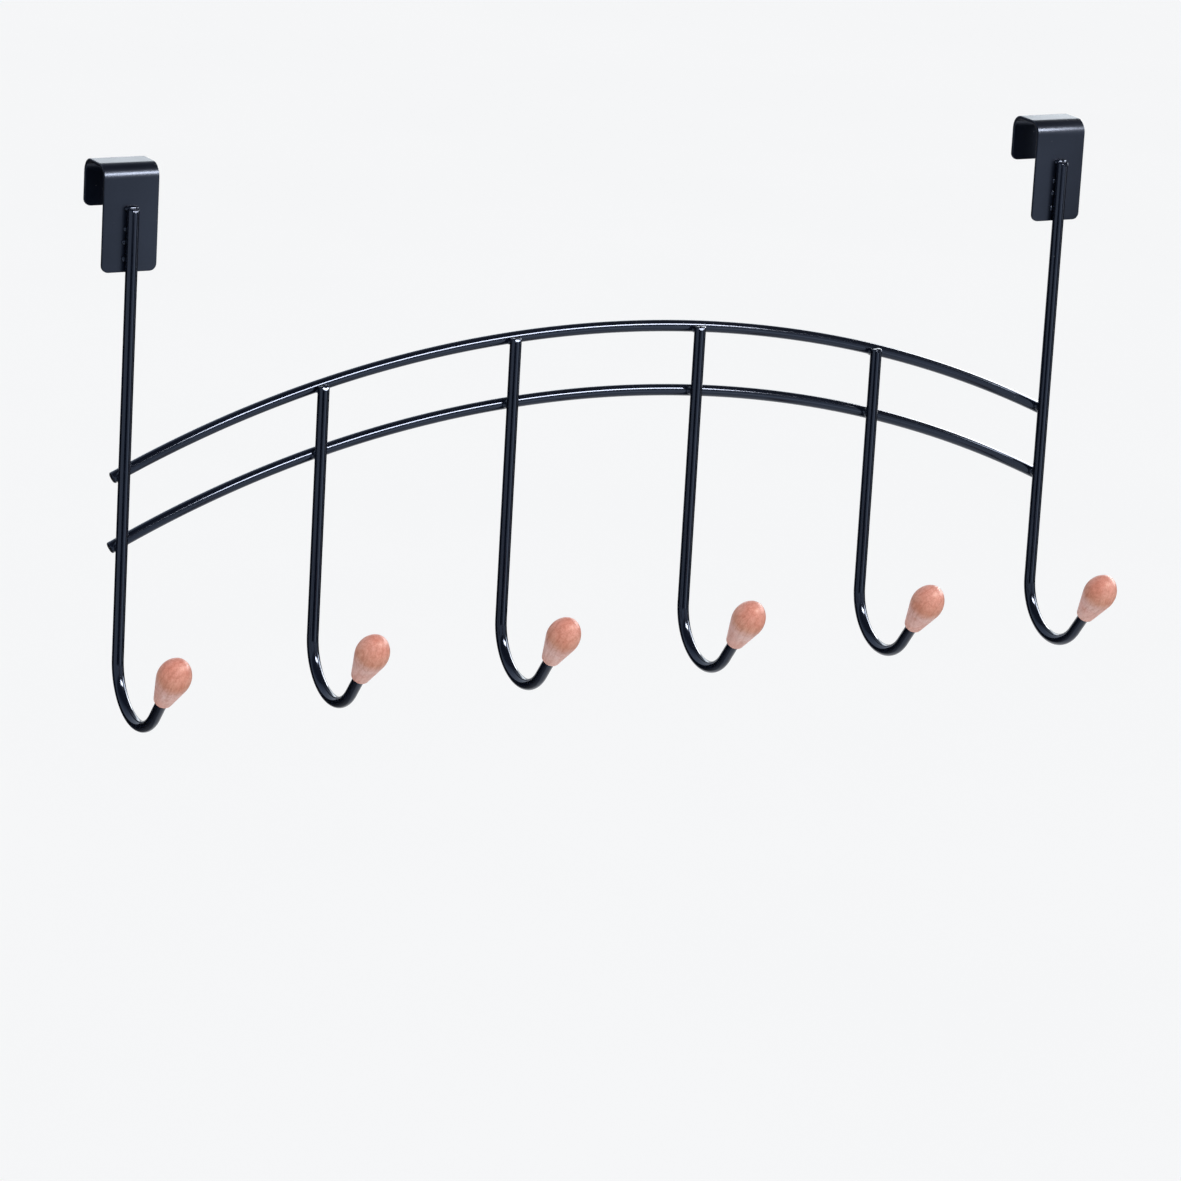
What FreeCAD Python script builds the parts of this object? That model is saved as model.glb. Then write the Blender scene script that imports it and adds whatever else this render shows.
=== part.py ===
import FreeCAD, Part
import os
from math import radians
import Sketcher
from FreeCAD import Vector

# Over door hook rack: two folded strip brackets, two arched rails and six J-shaped hook
# wires, each with a turned wooden knob on its tip.
#
# +X runs along the door, +Y goes through it from front to back, and +Z is up. The origin is
# on the door's top edge, halfway between the brackets and midway between the backs of the
# rails and the faces of the brackets' lips, which is the slot that the door's edge stands in.
# The undersides of both brackets lie in the plane Z = 0.
#
# From front to back the rack stacks up as it is welded: the hook wires, then the brackets
# and rails behind them. The rails rest on the door's front face, so the brackets' front
# flanges stand a little off it, and the lips hold it from behind with some play.

HOOKS = 6

# How a sketch refers to the points of a curve, and to its own origin and axes.
START, END, CENTRE = range(1, 4)
HORIZONTAL_AXIS, VERTICAL_AXIS = range(-1, -3, -1)
ORIGIN = (HORIZONTAL_AXIS, START)

# Two lengths that differ by less than this, in millimetres, are taken as equal.
SAME = 1e-3

# Driving sizes, in millimetres and degrees.
SIZES = {
    # the door's edge, and the strip that is folded over it
    "door_thickness": 13.0,
    "door_play": 2.0,
    "strip_width": 24.0,
    "strip_thickness": 1.5,
    "fold_inside_radius": 4.5,
    "flange_drop": 42.5,
    "lip_drop": 19.0,
    "strip_corner_radius": 3.0,
    "strip_edge_round": 0.35,
    # the round wire that the rails and hooks are made of
    "wire_diameter": 5.0,
    "wire_end_round": 0.6,
    "weld_flat": 0.2,
    "weld_sink": 0.4,
    # the rails: depth of each crown below the door's edge, and the radius of each arch
    "upper_crown_depth": 78.5,
    "rail_spacing": 28.0,
    "upper_arch_radius": 522.0,
    "lower_arch_radius": 508.0,
    "rail_stub": 3.4,
    # the hooks, measured down from the door's edge
    "hook_pitch": 88.0,
    "outer_top_depth": 16.0,
    "inner_top_rise": 1.0,
    "outer_hook_depth": 228.5,
    "inner_hook_depth": 226.0,
    "bend_radius": 22.0,
    "tip_angle": 51.0,
    "tip_length": 11.5,
    # the turned knob, along its own axis from its foot
    "knob_length": 26.3,
    "knob_diameter": 14.2,
    "knob_widest_height": 16.3,
    "knob_side_radius": 12.8,
    "knob_foot_diameter": 8.0,
    "knob_foot_round": 0.8,
    "knob_bore_depth": 12.0,
    "knob_bore_clearance": 0.1,
}

# Places worked out from the sizes, from the slot outwards.
WIRE_RADIUS = "(Sizes.wire_diameter / 2)"
SLOT_BACK = "((Sizes.door_thickness + Sizes.door_play) / 2)"
RAIL_Y = f"(-{SLOT_BACK} - {WIRE_RADIUS})"
HOOK_Y = f"({RAIL_Y} - Sizes.wire_diameter + Sizes.weld_sink)"
FLANGE_FRONT = f"({HOOK_Y} + {WIRE_RADIUS} - Sizes.weld_flat)"
FLANGE_MIDDLE = f"({FLANGE_FRONT} + Sizes.strip_thickness / 2)"
LIP_MIDDLE = f"({SLOT_BACK} + Sizes.strip_thickness / 2)"
FOLD_RADIUS = "(Sizes.fold_inside_radius + Sizes.strip_thickness / 2)"
OUTER_REACH = f"({(HOOKS - 1) / 2} * Sizes.hook_pitch)"
LOWER_CROWN_DEPTH = "(Sizes.upper_crown_depth + Sizes.rail_spacing)"

doc = FreeCAD.newDocument("over_door_hook")
sheet = doc.addObject("Spreadsheet::Sheet", "Sizes")
for row, (alias, value) in enumerate(SIZES.items(), start=1):
    sheet.set(f"A{row}", alias)
    sheet.set(f"B{row}", str(value))
    sheet.setAlias(f"B{row}", alias)
doc.recompute()


def size(alias):
    """A driving size as a number. Sketches are first drawn roughly with these, and then the
    ties and dimensions set their shape."""
    return float(sheet.get(alias))


def hook_x(index):
    """How far along the door a hook stands, as an expression: they are evenly spaced."""
    return f"({index - (HOOKS - 1) / 2} * Sizes.hook_pitch)"


def origin_feature(body, role):
    """One of a body's own origin planes or axes."""
    return next(f for f in body.Origin.OriginFeatures if f.Role == role)


def new_body(name):
    body = doc.addObject("PartDesign::Body", name)
    body.Label = name
    return body


def new_sketch(body, name, plane, shift, turn=None):
    """A sketch on one of the body's planes, shifted in the plane and along its normal
    by three expressions, and turned in the plane by a fourth."""
    sketch = body.newObject("Sketcher::SketchObject", f"{body.Name}_{name}")
    sketch.AttachmentSupport = [(origin_feature(body, plane), "")]
    sketch.MapMode = "FlatFace"
    for letter, expression in zip("xyz", shift):
        sketch.setExpression(f"AttachmentOffset.Base.{letter}", expression)
    if turn is not None:
        sketch.AttachmentOffset = FreeCAD.Placement(Vector(0, 0, 0), FreeCAD.Rotation(Vector(0, 0, 1), 1))
        sketch.setExpression("AttachmentOffset.Rotation.Angle", turn)
    return sketch


def line(sketch, start, end, construction=False):
    return sketch.addGeometry(Part.LineSegment(Vector(*start, 0), Vector(*end, 0)), construction)


def arc(sketch, centre, radius, start_angle, end_angle):
    """An arc that runs anticlockwise between two angles in degrees."""
    circle = Part.Circle(Vector(*centre, 0), Vector(0, 0, 1), radius)
    return sketch.addGeometry(Part.ArcOfCircle(circle, radians(start_angle), radians(end_angle)))


def tie(sketch, kind, *targets):
    """A constraint with no size, such as Coincident or Tangent."""
    sketch.addConstraint(Sketcher.Constraint(kind, *targets))


def point_of(sketch, target):
    return Vector(0, 0, 0) if target == ORIGIN else sketch.getPoint(*target)


def measured(sketch, kind, targets):
    """What a dimension reads on the sketch as it is drawn so far."""
    if kind in ("Radius", "Diameter"):
        radius = sketch.Geometry[targets[0]].Radius
        return radius if kind == "Radius" else 2 * radius
    if len(targets) == 1:
        drawn = sketch.Geometry[targets[0]]
        along = drawn.EndPoint - drawn.StartPoint
        return along.Length if kind == "Distance" else Vector(1, 0, 0).getAngle(along)
    gap = point_of(sketch, targets[2:]) - point_of(sketch, targets[:2])
    return {"DistanceX": gap.x, "DistanceY": gap.y, "Distance": gap.Length}[kind]


def dimension(sketch, kind, targets, expression):
    """A dimension that starts at what is drawn and is bound to the sheet."""
    value = measured(sketch, kind, targets)
    index = sketch.addConstraint(Sketcher.Constraint(kind, *targets, value))
    sketch.setExpression(f"Constraints[{index}]", expression)


def round_section(body, name, plane, shift):
    """The round section of the wire, as a sketch centred on its own origin."""
    sketch = new_sketch(body, name, plane, shift)
    ring = sketch.addGeometry(Part.Circle(Vector(0, 0, 0), Vector(0, 0, 1), size("wire_diameter") / 2))
    tie(sketch, "Coincident", ring, CENTRE, *ORIGIN)
    dimension(sketch, "Diameter", (ring,), "Sizes.wire_diameter")
    return sketch


def rectangle(sketch, width, height, width_expression, height_expression):
    """A rectangle with one corner on the sketch's origin."""
    corners = [(0, 0), (width, 0), (width, height), (0, height)]
    sides = [line(sketch, corners[i], corners[(i + 1) % 4]) for i in range(4)]
    for side, following in zip(sides, sides[1:] + sides[:1]):
        tie(sketch, "Coincident", side, END, following, START)
    for side, kind in zip(sides, ("Horizontal", "Vertical") * 2):
        tie(sketch, kind, side)
    tie(sketch, "Coincident", sides[0], START, *ORIGIN)
    dimension(sketch, "Distance", (sides[0],), width_expression)
    dimension(sketch, "Distance", (sides[1],), height_expression)


def sweep(body, name, section, path):
    """Carries a section along a path."""
    doc.recompute()
    pipe = body.newObject("PartDesign::AdditivePipe", f"{body.Name}_{name}")
    pipe.Profile = section
    pipe.Spine = (path, [f"Edge{i + 1}" for i in range(len(path.Shape.Edges))])
    doc.recompute()
    return pipe


def round_edges(body, name, base, chosen, radius_expression):
    """Rounds the edges of a feature for which chosen(edge) is true."""
    names = [f"Edge{i + 1}" for i, edge in enumerate(base.Shape.Edges) if chosen(edge)]
    fillet = body.newObject("PartDesign::Fillet", f"{body.Name}_{name}")
    fillet.Base = (base, names)
    fillet.setExpression("Radius", radius_expression)
    doc.recompute()
    return fillet


def round_cut_end(edge):
    """The rim of a cut end of the wire, which is a circle of the wire's own size."""
    curve = edge.Curve
    return curve.TypeId == "Part::GeomCircle" and abs(2 * curve.Radius - size("wire_diameter")) < SAME


def cut_checked(before, after):
    """A cut that points away from its solid removes nothing, so its volume is compared."""
    if not after.Shape.Volume < before.Shape.Volume:
        raise ValueError(f"{after.Name} cuts nothing")
    return after


def bracket(name, x):
    """A flat strip folded into a U over the door: a long front flange, a top plate and a
    short back lip, with rounded corners at both ends."""
    body = new_body(name)
    drop, lip = size("flange_drop"), size("lip_drop")
    radius = size("fold_inside_radius") + size("strip_thickness") / 2
    depth = 3 * radius

    path = new_sketch(body, "path", "YZ_Plane", (FLANGE_MIDDLE, "Sizes.strip_thickness / 2", x))
    flange = line(path, (0, -drop), (0, -radius))
    front_fold = arc(path, (radius, -radius), radius, 90, 180)
    top = line(path, (radius, 0), (depth - radius, 0))
    back_fold = arc(path, (depth - radius, -radius), radius, 0, 90)
    back_lip = line(path, (depth, -radius), (depth, -lip))
    tie(path, "Tangent", flange, END, front_fold, END)
    tie(path, "Tangent", front_fold, START, top, START)
    tie(path, "Tangent", top, END, back_fold, END)
    tie(path, "Tangent", back_fold, START, back_lip, START)
    tie(path, "Vertical", flange)
    tie(path, "Horizontal", top)
    tie(path, "Vertical", back_lip)
    tie(path, "PointOnObject", flange, END, VERTICAL_AXIS)
    tie(path, "PointOnObject", top, START, HORIZONTAL_AXIS)
    tie(path, "Equal", front_fold, back_fold)
    half_thickness = "Sizes.strip_thickness / 2"
    dimension(path, "Radius", (front_fold,), FOLD_RADIUS)
    dimension(path, "DistanceX", (*ORIGIN, back_lip, END), f"{LIP_MIDDLE} - {FLANGE_MIDDLE}")
    dimension(path, "DistanceY", (flange, START, *ORIGIN), f"Sizes.flange_drop + {half_thickness}")
    dimension(path, "DistanceY", (back_lip, END, *ORIGIN), f"Sizes.lip_drop + {half_thickness}")

    section = new_sketch(
        body, "section", "XY_Plane",
        (f"{x} - Sizes.strip_width / 2", FLANGE_FRONT, "-Sizes.flange_drop"))
    rectangle(section, size("strip_width"), size("strip_thickness"),
              "Sizes.strip_width", "Sizes.strip_thickness")
    strip = sweep(body, "strip", section, path)

    def at_a_corner(edge):
        """An edge through the strip's thickness, at the foot of the flange or of the lip."""
        depth = -edge.CenterOfMass.z
        at_a_foot = min(abs(depth - drop), abs(depth - lip)) < SAME
        return at_a_foot and abs(edge.Length - size("strip_thickness")) < SAME

    corners = round_edges(body, "corners", strip, at_a_corner, "Sizes.strip_corner_radius")
    broad = [f for f in corners.Shape.Faces if f.BoundBox.XLength > size("strip_width") - SAME]
    sides = [edge for face in broad for edge in face.Edges]

    def on_rim(edge):
        """Where a broad face of the strip, as wide as the strip itself, meets a narrow one."""
        return sum(edge.isSame(side) for side in sides) == 1

    round_edges(body, "soft_edges", corners, on_rim, "Sizes.strip_edge_round")
    return body


def rail(name, crown_depth, arch_radius):
    """A wire bent to a shallow arch, with a seat pressed into its front by each hook wire."""
    body = new_body(name)
    section = round_section(body, "section", "YZ_Plane", (RAIL_Y, f"-{crown_depth}", "0"))
    far = size(arch_radius)
    axis = line(section, (-1, -far), (1, -far), construction=True)
    tie(section, "Symmetric", axis, START, axis, END, VERTICAL_AXIS)
    dimension(section, "DistanceY", (axis, START, *ORIGIN), f"Sizes.{arch_radius}")
    dimension(section, "Distance", (axis,), "Sizes.wire_diameter")

    arch = body.newObject("PartDesign::Revolution", f"{name}_arch")
    arch.Profile = section
    arch.ReferenceAxis = (section, ["Axis0"])
    arch.Midplane = True
    arch.setExpression("Angle", f"2 * asin(({OUTER_REACH} + Sizes.rail_stub) / Sizes.{arch_radius})")
    doc.recompute()

    ends = round_edges(body, "ends", arch, round_cut_end, "Sizes.wire_end_round")
    seat_outline = round_section(body, "seat_outline", "XY_Plane", (f"-{OUTER_REACH}", HOOK_Y, "0"))
    seat = body.newObject("PartDesign::Pocket", f"{name}_seat")
    seat.Profile = seat_outline
    seat.Type = "ThroughAll"
    doc.recompute()
    cut_checked(ends, seat)
    seats = body.newObject("PartDesign::LinearPattern", f"{name}_seats")
    seats.Originals = [seat]
    seats.Direction = (origin_feature(body, "X_Axis"), [""])
    seats.setExpression("Length", f"2 * {OUTER_REACH}")
    seats.Occurrences = HOOKS
    body.Tip = seats
    doc.recompute()
    cut_checked(seat, seats)
    return body


def hook_wire(name, x, top_depth, hook_depth, welded_to_bracket):
    """A straight wire with a J bend at its foot and a straight rising tip. The outer two are
    welded to the brackets and are flattened there."""
    body = new_body(name)
    radius = size("bend_radius")
    foot = size("outer_hook_depth") - radius
    tip = size("tip_angle")
    path = new_sketch(body, "path", "YZ_Plane", (HOOK_Y, "0", x))
    stem = line(path, (0, -foot / 2), (0, -foot))
    bend = arc(path, (-radius, -foot), radius, -90 - tip, 0)
    bend_end = path.getPoint(bend, START)
    along_tip = FreeCAD.Rotation(Vector(0, 0, 1), 180 - tip).multVec(Vector(size("knob_bore_depth"), 0, 0))
    tip_end = bend_end + along_tip
    rising_tip = line(path, (bend_end.x, bend_end.y), (tip_end.x, tip_end.y))
    tie(path, "Tangent", stem, END, bend, END)
    tie(path, "Tangent", bend, START, rising_tip, START)
    tie(path, "Vertical", stem)
    tie(path, "PointOnObject", stem, START, VERTICAL_AXIS)
    dimension(path, "Radius", (bend,), "Sizes.bend_radius")
    dimension(path, "DistanceY", (stem, START, *ORIGIN), top_depth)
    dimension(path, "DistanceY", (stem, END, *ORIGIN),
              f"Sizes.{hook_depth} - {WIRE_RADIUS} - Sizes.bend_radius")
    dimension(path, "Angle", (rising_tip,), "180 - Sizes.tip_angle")
    dimension(path, "Distance", (rising_tip,), "Sizes.tip_length + Sizes.knob_bore_depth")

    section = round_section(body, "section", "XY_Plane", (x, HOOK_Y, f"-{top_depth}"))
    wire = sweep(body, "wire", section, path)
    top_z = wire.Shape.BoundBox.ZMax

    def at_top(edge):
        return edge.BoundBox.ZMin > top_z - SAME

    rounded = round_edges(body, "end", wire, at_top, "Sizes.wire_end_round")
    if not welded_to_bracket:
        return body
    flat_outline = new_sketch(body, "flat_outline", "YZ_Plane",
                              (FLANGE_FRONT, "-Sizes.flange_drop", x))
    rectangle(flat_outline, size("wire_diameter"), size("flange_drop"),
              "Sizes.wire_diameter", "Sizes.flange_drop")
    flat = body.newObject("PartDesign::Pocket", f"{name}_flat")
    flat.Profile = flat_outline
    flat.SideType = "Symmetric"
    flat.setExpression("Length", "2 * Sizes.wire_diameter")
    doc.recompute()
    cut_checked(rounded, flat)
    return body


def knob(name, x, hook_depth):
    """A turned teardrop: a flat foot with a rounded rim, a straight flank, a round belly and
    a tighter crown, with a blind hole in the foot that the wire's tip is glued into."""
    body = new_body(name)
    bend_centre = f"(-Sizes.{hook_depth} + {WIRE_RADIUS} + Sizes.bend_radius)"
    along = "Sizes.tip_angle"
    foot_y = f"{HOOK_Y} - Sizes.bend_radius * (1 + sin({along})) - Sizes.tip_length * cos({along})"
    foot_z = f"{bend_centre} - Sizes.bend_radius * cos({along}) + Sizes.tip_length * sin({along})"
    place = (foot_y, foot_z, x)
    lean = f"90 - {along}"

    length, widest = size("knob_length"), size("knob_widest_height")
    belly_radius, half = size("knob_side_radius"), size("knob_diameter") / 2
    foot_half, rim = size("knob_foot_diameter") / 2, size("knob_foot_round")
    # Rough turns, in degrees, where the arcs meet; their tangents set the true ones.
    flank_turn, crown_turn = -12, 35
    outline = new_sketch(body, "outline", "YZ_Plane", place, lean)
    foot = line(outline, (0, 0), (foot_half - rim, 0))
    rim_arc = arc(outline, (foot_half - rim, rim), rim, -90, flank_turn)
    flank = line(outline, (foot_half, rim), (half, widest))
    belly = arc(outline, (half - belly_radius, widest), belly_radius, flank_turn, crown_turn)
    crown = arc(outline, (0, length - half), half, crown_turn, 90)
    core = line(outline, (0, length), (0, 0))
    tie(outline, "Coincident", foot, START, *ORIGIN)
    tie(outline, "Horizontal", foot)
    tie(outline, "Tangent", foot, END, rim_arc, START)
    tie(outline, "Tangent", rim_arc, END, flank, START)
    tie(outline, "Tangent", flank, END, belly, START)
    tie(outline, "Tangent", belly, END, crown, START)
    tie(outline, "Coincident", crown, END, core, START)
    tie(outline, "Coincident", core, END, *ORIGIN)
    tie(outline, "Vertical", core)
    tie(outline, "PointOnObject", crown, CENTRE, VERTICAL_AXIS)
    dimension(outline, "Distance", (core,), "Sizes.knob_length")
    dimension(outline, "Radius", (belly,), "Sizes.knob_side_radius")
    dimension(outline, "Radius", (rim_arc,), "Sizes.knob_foot_round")
    dimension(outline, "DistanceY", (*ORIGIN, belly, CENTRE), "Sizes.knob_widest_height")
    dimension(outline, "DistanceX", (belly, CENTRE, *ORIGIN),
              "Sizes.knob_side_radius - Sizes.knob_diameter / 2")
    dimension(outline, "DistanceX", (*ORIGIN, rim_arc, CENTRE),
              "Sizes.knob_foot_diameter / 2 - Sizes.knob_foot_round")

    turned = body.newObject("PartDesign::Revolution", f"{name}_turned")
    turned.Profile = outline
    turned.ReferenceAxis = (outline, ["V_Axis"])
    doc.recompute()
    bore_outline = new_sketch(body, "bore_outline", "YZ_Plane", place, lean)
    rectangle(bore_outline, size("wire_diameter") / 2, size("knob_bore_depth"),
              f"{WIRE_RADIUS} + Sizes.knob_bore_clearance / 2", "Sizes.knob_bore_depth")
    bore = body.newObject("PartDesign::Groove", f"{name}_bore")
    bore.Profile = bore_outline
    bore.ReferenceAxis = (bore_outline, ["V_Axis"])
    doc.recompute()
    cut_checked(turned, bore)
    return body


def build():
    """Every sub-part, by the name of its node."""
    last = HOOKS - 1
    bodies = [
        bracket("left_bracket", hook_x(0)),
        bracket("right_bracket", hook_x(last)),
        rail("upper_rail", "Sizes.upper_crown_depth", "upper_arch_radius"),
        rail("lower_rail", LOWER_CROWN_DEPTH, "lower_arch_radius"),
    ]
    for index in range(HOOKS):
        x = hook_x(index)
        outer = index in (0, last)
        hook_depth = "outer_hook_depth" if outer else "inner_hook_depth"
        arch = "Sizes.upper_arch_radius"
        sag = f"({arch} - sqrt({arch}^2 - {x}^2))"
        top_depth = "Sizes.outer_top_depth" if outer else (
            f"(Sizes.upper_crown_depth + {sag} - Sizes.inner_top_rise)")
        bodies.append(hook_wire(f"hook_wire_{index + 1}", x, top_depth, hook_depth, outer))
        bodies.append(knob(f"knob_{index + 1}", x, hook_depth))
    return bodies


def check_and_export(bodies):
    """Stops if anything failed to build, then writes one file for each node."""
    doc.recompute()
    failed = [o.Name for o in doc.Objects if {"Invalid", "Error"} & set(o.State)]
    if failed:
        raise ValueError(f"these objects failed: {failed}")
    os.makedirs("parts", exist_ok=True)
    for body in bodies:
        shape = body.Shape
        if shape.isNull() or not shape.isValid() or len(shape.Solids) != 1:
            raise ValueError(f"{body.Label} isn't one valid solid")
    for body in bodies:
        body.Shape.exportStep(f"parts/{body.Label}.step")


check_and_export(build())
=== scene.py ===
from math import asin, atan2, cos, hypot, pi, radians, sin

import bpy
import numpy as np
from mathutils import Matrix, Vector


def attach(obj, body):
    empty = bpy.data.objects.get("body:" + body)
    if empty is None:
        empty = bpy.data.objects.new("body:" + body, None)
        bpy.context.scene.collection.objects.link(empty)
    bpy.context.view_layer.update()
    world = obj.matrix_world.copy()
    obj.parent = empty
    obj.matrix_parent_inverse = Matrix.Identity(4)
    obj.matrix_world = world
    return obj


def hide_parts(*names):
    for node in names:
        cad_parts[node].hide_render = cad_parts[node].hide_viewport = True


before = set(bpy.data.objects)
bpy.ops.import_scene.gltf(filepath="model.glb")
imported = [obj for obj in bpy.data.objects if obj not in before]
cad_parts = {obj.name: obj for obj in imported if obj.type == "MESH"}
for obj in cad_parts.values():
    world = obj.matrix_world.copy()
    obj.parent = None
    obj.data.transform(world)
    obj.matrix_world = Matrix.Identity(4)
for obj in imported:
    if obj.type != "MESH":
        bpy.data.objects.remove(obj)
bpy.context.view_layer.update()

# Over door hook rack: painted strip brackets, painted wire rails and hooks with their welds,
# and turned wooden knobs. +X runs along the rack to the right, +Y from its front to its back
# and +Z is up. Everything is in metres; sizes are written in millimetres times MM.

MM = 0.001

# Sizes that the scene shares with the solids
HOOK_X = np.arange(-2.5, 3) * 88 * MM
OUTER_HOOKS = (0, 5)
WIRE_RADIUS = 2.5 * MM
WIRE_END_ROUND = 0.6 * MM
HOOK_Y = -14.6 * MM
RAIL_Y = -10.0 * MM
FLANGE_FRONT = -12.3 * MM
FLANGE_DROP = 42.5 * MM
LIP_BACK = 9.0 * MM
LIP_DROP = 19.0 * MM
STRIP_WIDTH = 24.0 * MM
STRIP_THICKNESS = 1.5 * MM
STRIP_CORNER = 3.0 * MM
STRIP_EDGE_ROUND = 0.35 * MM
FOLD_INSIDE = 4.5 * MM
ARCHES = {"upper_rail": (78.5 * MM, 522 * MM), "lower_rail": (106.5 * MM, 508 * MM)}
RAIL_REACH = 223.4 * MM
OUTER_TOP = 16 * MM
INNER_TOP_RISE = 1.0 * MM
OUTER_DEPTH = 228.5 * MM
INNER_DEPTH = 226 * MM
BEND_RADIUS = 22 * MM
TIP_ANGLE = radians(51)
TIP_LENGTH = 11.5 * MM
KNOB_LENGTH = 26.3 * MM
KNOB_RADIUS = 7.1 * MM
KNOB_WIDEST = 16.3 * MM
KNOB_BELLY = 12.8 * MM
KNOB_FOOT_RADIUS = 4.0 * MM
KNOB_FOOT_ROUND = 0.8 * MM
KNOB_BORE_RADIUS = 2.55 * MM
KNOB_BORE_DEPTH = 12 * MM

# The land that the shears left on a hook wire: its slope, how deep it starts, how far it goes
SHEARED_RISE = 1.9
SHEARED_DEPTH = 0.75 * MM
SHEARED_REACH = 3 * MM

# The saddle welds: (waist, reach) where wires cross and at a wire's end, the drop there, the
# sink into the wires, and how fast a saddle flares
SADDLE = (2.15 * MM, 1.6 * MM)
END_SADDLE = (1.7 * MM, 1.1 * MM)
END_SADDLE_DROP = 1.3 * MM
SADDLE_SINK = 0.25 * MM
SADDLE_FLARE = 2.2

# The weld beads on a bracket, with the small ones as (aside of the wire, depth, half-width)
TOP_BEAD = (2.9 * MM, 1.3 * MM, 1.3 * MM)
BEAD_THICKNESS = 0.75 * MM
BEAD_STAND = 0.25 * MM
TOP_BEAD_DROP = 0.2 * MM
BEAD_HEIGHT = 1.25 * MM
BRACKET_BEADS = ((-2.3 * MM, 24.5 * MM, 0.9 * MM), (-2.4 * MM, 30.0 * MM, 1.2 * MM),
                 (-2.4 * MM, 36.8 * MM, 1.3 * MM), (2.3 * MM, 27.0 * MM, 1.0 * MM),
                 (2.3 * MM, 35.0 * MM, 1.1 * MM))

# How finely the meshes are drawn
WIRE_AROUND, KNOB_AROUND, BEAD_AROUND = 48, 96, 40
RAIL_STEP, HOOK_STEP = 1.6 * MM, 1.1 * MM
END_STEPS, LAND_STEPS, SADDLE_STEPS, BEAD_STEPS, FLAG_STEPS = 7, 14, 14, 22, 24
STRIP_STEPS, STRIP_CORNER_STEPS, STRIP_EDGE_STEPS, SECTION_STEPS = 150, 15, 6, 10
BORE_STEPS, FOOT_STEPS, RIM_STEPS, CURVE_STEPS = 5, 4, 9, 26

# The floor, and the dark flags round the rack: the turn from straight in front, in degrees,
# from where to where, then the near and the far edge, each as (distance, height)
FLOOR_HEIGHT, FLOOR_REACH, FLOOR_GLOW = -0.9, 14.0, 0.7
FLAG_DISTANCE = 1.8
FLAG_FOOT, FLAG_TOP = (FLAG_DISTANCE, -0.89), (FLAG_DISTANCE, -0.35)
FLAGS = (((-47, -8), FLAG_FOOT, FLAG_TOP), ((44, 66), FLAG_FOOT, FLAG_TOP),
         ((80, 150), FLAG_FOOT, FLAG_TOP), ((80, 132), FLAG_TOP, (FLAG_DISTANCE, 0.05)),
         ((-170, -102), FLAG_FOOT, (FLAG_DISTANCE, -0.12)),
         ((-175, -75), (0.15, -0.885), (FLAG_DISTANCE, -0.88)))

# Sockets of a Mix node that mixes colours
MIX_A, MIX_B, MIX_RESULT = 6, 7, 2


def put(name, data):
    """An object that carries a mesh, a lamp or a camera, put into the scene."""
    item = bpy.data.objects.new(name, data)
    bpy.context.scene.collection.objects.link(item)
    return item


def skin(name, rings, material):
    """A closed skin over rings[i, j], ring i at step j round it: quads between neighbouring
    rings, and a fan of triangles from each end ring to its own middle. The faces are turned
    round if the volume they enclose, a sixth of the sum of p0 . (p1 x p2), is negative."""
    count, around, _ = rings.shape
    points = np.concatenate([rings.reshape(-1, 3), [rings[0].mean(0), rings[-1].mean(0)]])
    row = np.arange(count - 1)[:, None] * around
    here = np.arange(around)
    after = (here + 1) % around
    quads = np.stack([row + here, row + after, row + around + after, row + around + here], -1)
    quads = quads.reshape(-1, 4)
    last = (count - 1) * around
    foot = np.stack([np.full(around, count * around), after, here], -1)
    head = np.stack([np.full(around, count * around + 1), last + here, last + after], -1)
    triangles = np.concatenate([quads[:, :3], quads[:, [0, 2, 3]], foot, head])
    a, b, c = points[triangles].transpose(1, 0, 2)
    if (a * np.cross(b, c)).sum() < 0:
        quads, foot, head = quads[:, ::-1], foot[:, ::-1], head[:, ::-1]
    mesh = bpy.data.meshes.new(name)
    mesh.from_pydata(points.tolist(), [], quads.tolist() + foot.tolist() + head.tolist())
    mesh.shade_smooth()
    mesh.materials.append(material)
    piece = put(name, mesh)
    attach(piece, "root")
    return piece


def ease_in(round_off, steps):
    """Distances from a rounded end that start close together: e (1 - cos t) for t from 0 to
    a right angle."""
    return round_off * (1 - np.cos(np.linspace(0, pi / 2, steps)))


def near_ends(length, round_off, coarse):
    """Distances along a piece: an even run, with closer steps where its ends are rounded."""
    ease = ease_in(round_off, END_STEPS)
    middle = np.linspace(round_off, length - round_off, int(length / coarse))
    return np.concatenate([ease[:-1], middle, (length - ease[:-1])[::-1]])


def shrink_at_ends(along, length, round_off):
    """How much a section shrinks near a rounded end: e - sqrt(e^2 - (e - d)^2) at a distance
    d below e from the end, and nothing further in."""
    inward = np.clip(round_off - np.minimum(along, length - along), 0, round_off)
    return round_off - np.sqrt(round_off ** 2 - inward ** 2)


def wire_rings(path, tangent, across, along, length):
    """Round wire carried along a flat path: P + r (cos t N + sin t B), where B is the normal
    of the path's plane and N = B x T. r is less near the rounded ends."""
    side = np.cross(across, tangent)
    turn = np.linspace(0, 2 * pi, WIRE_AROUND, endpoint=False)
    radius = WIRE_RADIUS - shrink_at_ends(along, length, WIRE_END_ROUND)
    spokes = (np.cos(turn)[None, :, None] * side[:, None]
              + np.sin(turn)[None, :, None] * np.array(across))
    return path[:, None] + radius[:, None, None] * spokes


def rail_height(name, x):
    """Height of a rail's axis: z = -crown - R + sqrt(R^2 - x^2)."""
    crown, radius = ARCHES[name]
    return -crown - radius + np.sqrt(radius ** 2 - x ** 2)


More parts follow.
